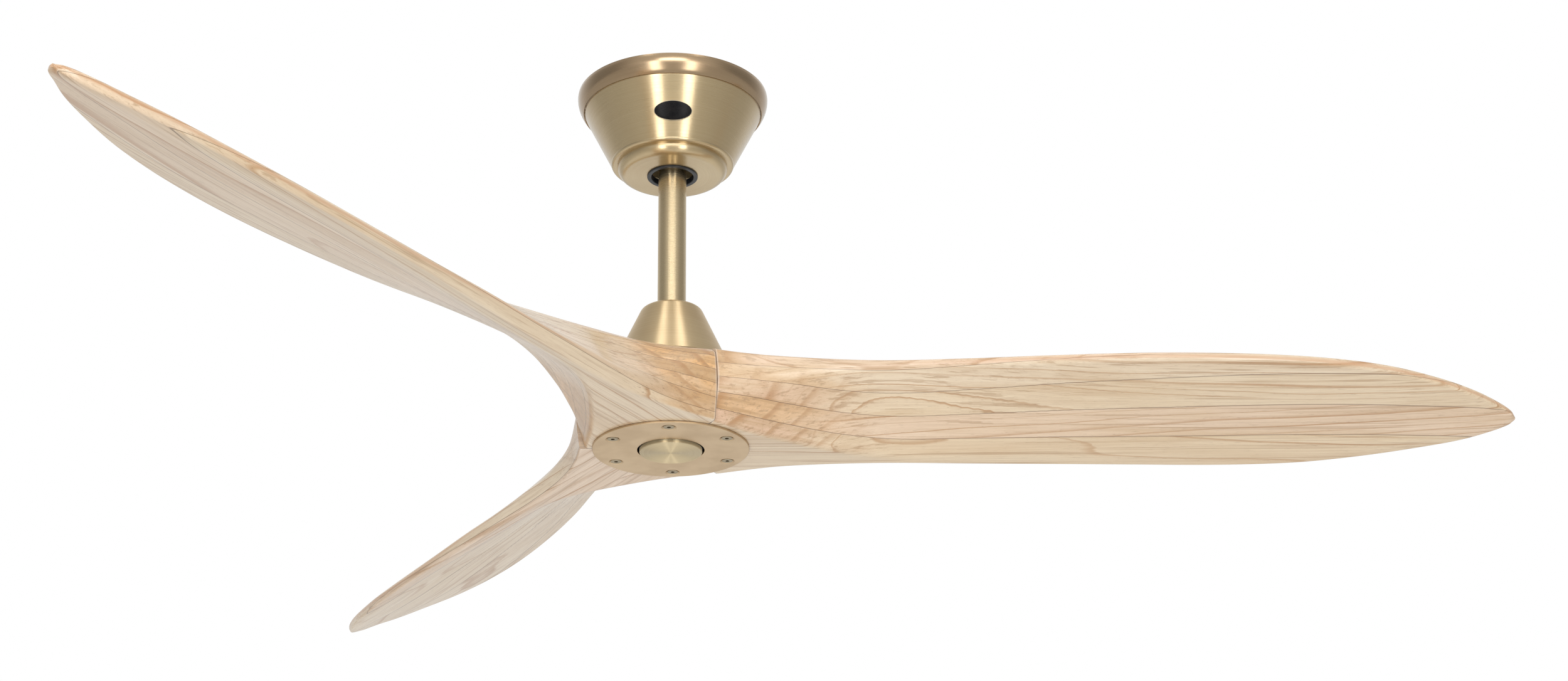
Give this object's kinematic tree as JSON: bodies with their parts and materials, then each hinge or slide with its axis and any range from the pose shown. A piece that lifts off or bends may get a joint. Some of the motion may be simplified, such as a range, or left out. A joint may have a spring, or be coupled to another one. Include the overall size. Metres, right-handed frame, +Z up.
{
  "type": "ceiling fan with wooden propeller",
  "caption": "Ceiling fan with a carved, laminated wooden propeller on a brass rod, ball hanger and canopy, and an outer-rotor motor in the hub.",
  "frame": {"origin": "centre of the hanger bracket's top face, which lies against the ceiling", "axes": "+Z up, square to the ceiling; +X along the hanger bracket; the blades turn about the Z axis"},
  "size_m": [1.1649, 1.3179, 0.3575],
  "materials": {
    "satin_brass": "satin brushed, pale gold",
    "varnished_wood": "clear satin varnish over laminated pale wood",
    "black_plastic": "moulded, slight sheen",
    "badge_black": "glossy",
    "grey_plastic": "moulded, fine texture",
    "zinc_steel": "zinc plated",
    "shaft_steel": "ground",
    "screw_steel": "plated",
    "plate_screw": "plated to match the plate",
    "cast_alloy": "black paint on a casting",
    "copper_winding": "enamelled copper wire"
  },
  "bodies": {
    "ceiling": {"hanger_bracket": "zinc_steel", "canopy": "satin_brass", "canopy_ring": "satin_brass", "canopy_collar": "black_plastic", "canopy_badge": "badge_black", "receiver_box": "grey_plastic", "terminal_block": "grey_plastic", "canopy_screw_1": "screw_steel", "canopy_screw_2": "screw_steel", "canopy_screw_3": "screw_steel", "canopy_screw_4": "screw_steel"},
    "ball": {"hanger_ball": "black_plastic"},
    "hanging": {"ball_pin": "screw_steel", "downrod": "satin_brass", "coupling_cover": "satin_brass", "shaft_coupler": "zinc_steel", "coupling_pin": "screw_steel", "coupling_clip": "screw_steel", "grub_screw_1": "screw_steel", "grub_screw_2": "screw_steel", "grub_screw_3": "screw_steel", "motor_shaft": "shaft_steel", "stator_core": "zinc_steel", "stator_coil_1": "copper_winding", "stator_coil_2": "copper_winding", "stator_coil_3": "copper_winding", "stator_coil_4": "copper_winding", "stator_coil_5": "copper_winding", "stator_coil_6": "copper_winding", "stator_coil_7": "copper_winding", "stator_coil_8": "copper_winding", "stator_coil_9": "copper_winding", "centre_cap": "satin_brass"},
    "rotor": {"upper_motor_housing": "cast_alloy", "lower_motor_housing": "cast_alloy", "magnet_ring": "zinc_steel", "upper_bearing": "shaft_steel", "lower_bearing": "shaft_steel", "motor_screw_1": "screw_steel", "motor_screw_2": "screw_steel", "motor_screw_3": "screw_steel", "motor_screw_4": "screw_steel", "blade_1": "varnished_wood", "blade_2": "varnished_wood", "blade_3": "varnished_wood", "clamp_plate": "satin_brass", "blade_screw_1": "plate_screw", "blade_screw_2": "plate_screw", "blade_screw_3": "plate_screw", "blade_screw_4": "plate_screw", "blade_screw_5": "plate_screw", "blade_screw_6": "plate_screw"}
  },
  "joints": [
    {"name": "ball_tilt", "type": "hinge", "parent": "ceiling", "child": "ball", "pos_m": [0, 0, -0.054], "axis": [0, 1, 0], "range_deg": [-7, 7]},
    {"name": "rod_tilt", "type": "hinge", "parent": "ball", "child": "hanging", "pos_m": [0, 0, -0.054], "axis": [1, 0, 0], "range_deg": [-7, 7]},
    {"name": "rotor_spin", "type": "hinge", "parent": "hanging", "child": "rotor", "pos_m": [0, 0, -0.315], "axis": [0, 0, 1], "continuous": true}
  ]
}
